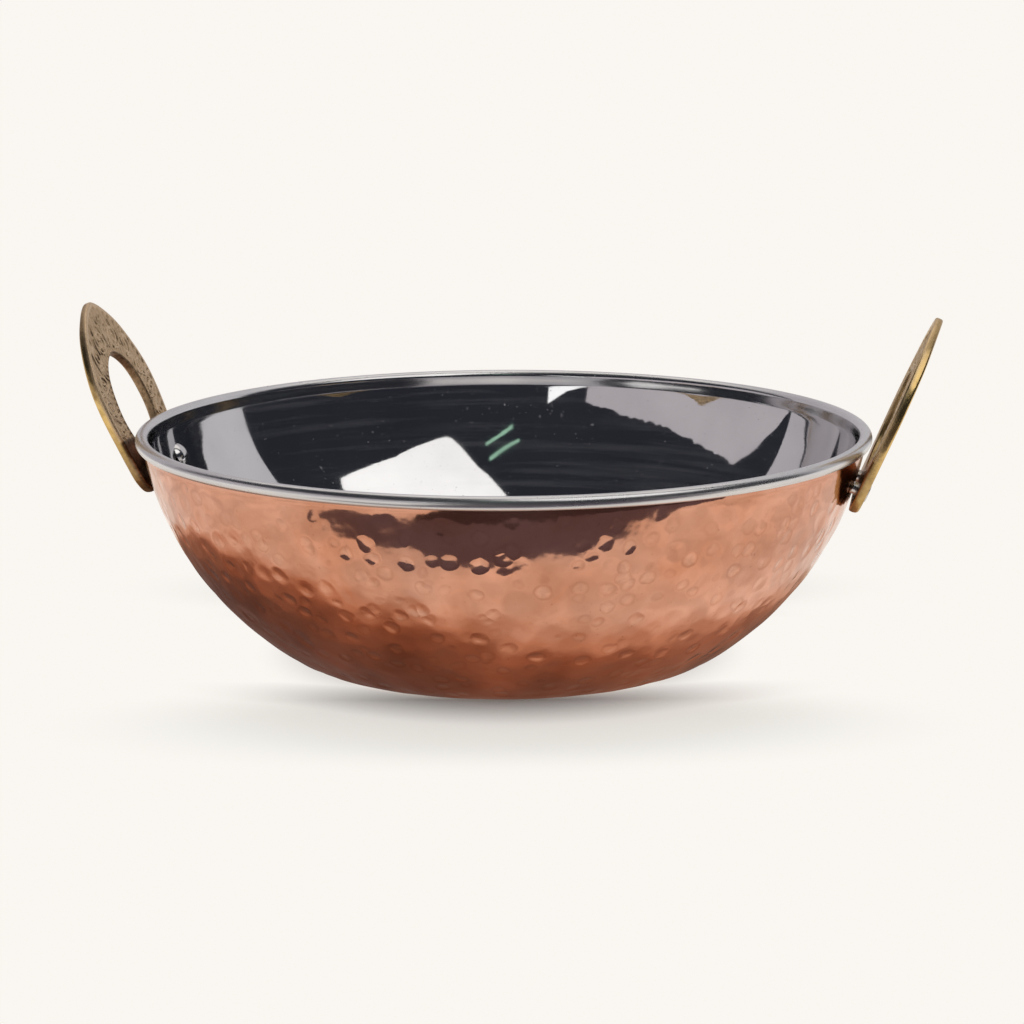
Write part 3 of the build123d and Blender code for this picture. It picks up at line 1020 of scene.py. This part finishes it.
def table_shade():
    """What the copper mirrors below: a painted shadow, red-brown under the bowl for the floor in the
    bowl's shade and its copper light, then the pale table, in rings round a point a little behind the
    middle, with soft painted blotches that make the hammer marks show."""
    f = Finish("table_shade")
    where = f.add("TexCoord").outputs["Object"]
    off = f.add("VectorMath", {"operation": "SUBTRACT"}, i0=where, i1=rings_middle).outputs[0]
    away = f.add("VectorMath", {"operation": "LENGTH"}, i0=off).outputs["Value"]
    away = f.math("ADD", away, f.ramp(f.noise(where, 30, 2.0), 0.3, 0.7, -0.005, 0.005))
    # Painted shadow: dark red-brown near the middle, for the shaded floor under the bowl.
    colour = (0.16, 0.10, 0.085)
    for low, high, tint in ((0.082, 0.098, (0.22, 0.12, 0.085)), (0.098, 0.112, (0.38, 0.20, 0.13)),
                            (0.113, 0.119, (0.66, 0.45, 0.33)), (0.120, 0.132, (0.90, 0.84, 0.77))):
        colour = f.blend(f.ramp(away, low, high), colour, tint)
    blotch = f.math("MULTIPLY", f.ramp(f.noise(where, 17, 2.0), 0.35, 0.65, 0.90, 1.10),
                    f.ramp(f.noise(where, 60, 2.0), 0.35, 0.65, 0.88, 1.10))
    return f.emit(colour, blotch)


table_card("table_shade", [(-0.25, -0.25), (0.25, -0.25), (0.25, 0.25), (-0.25, 0.25)],
           shade_lift, table_shade())

# %% The table's dark edge
table_card("table_edge", [(0.5, -0.085), (-0.105, -0.137), (-0.105, -0.168), (0.5, -0.168)],
           edge_lift, glow("table_edge", (0.13, 0.115, 0.15)))
table_card("table_front", [(0.6, -0.1675), (-0.035, -0.1675), (-0.10, -1.2), (0.9, -1.2)],
           edge_lift, glow("table_front", (0.06, 0.05, 0.062)))

# %% [markdown]
# ## The camera
# The photograph looks slightly down and a little from the right of the front. The distance and the
# lens were fitted to the ellipse of the rim and to the places of the two handles.

# %% The camera
camera_elevation, camera_distance, camera_roll = 10.1, 0.780, -0.2
aim_height, aim_right = 0.0387, 0.00218
a, t = math.radians(camera_azimuth), math.radians(camera_elevation)
camera = bpy.data.objects.new("camera", bpy.data.cameras.new("camera"))
bpy.context.scene.collection.objects.link(camera)
back = Vector((math.sin(a) * math.cos(t), -math.cos(a) * math.cos(t), math.sin(t)))
camera.location = Vector((0, 0, bead_z * MM)) + back * camera_distance
aim = Vector((0, 0, aim_height)) + Vector((math.cos(a), math.sin(a), 0)) * aim_right
camera.rotation_mode = "QUATERNION"
level = (aim - camera.location).to_track_quat("-Z", "Y")
camera.rotation_quaternion = level @ Matrix.Rotation(math.radians(camera_roll), 3, "Z").to_quaternion()
camera.data.lens = 100.3
camera.data.sensor_width = 36.0
bpy.context.scene.camera = camera
bpy.context.scene.view_settings.view_transform = "Standard"
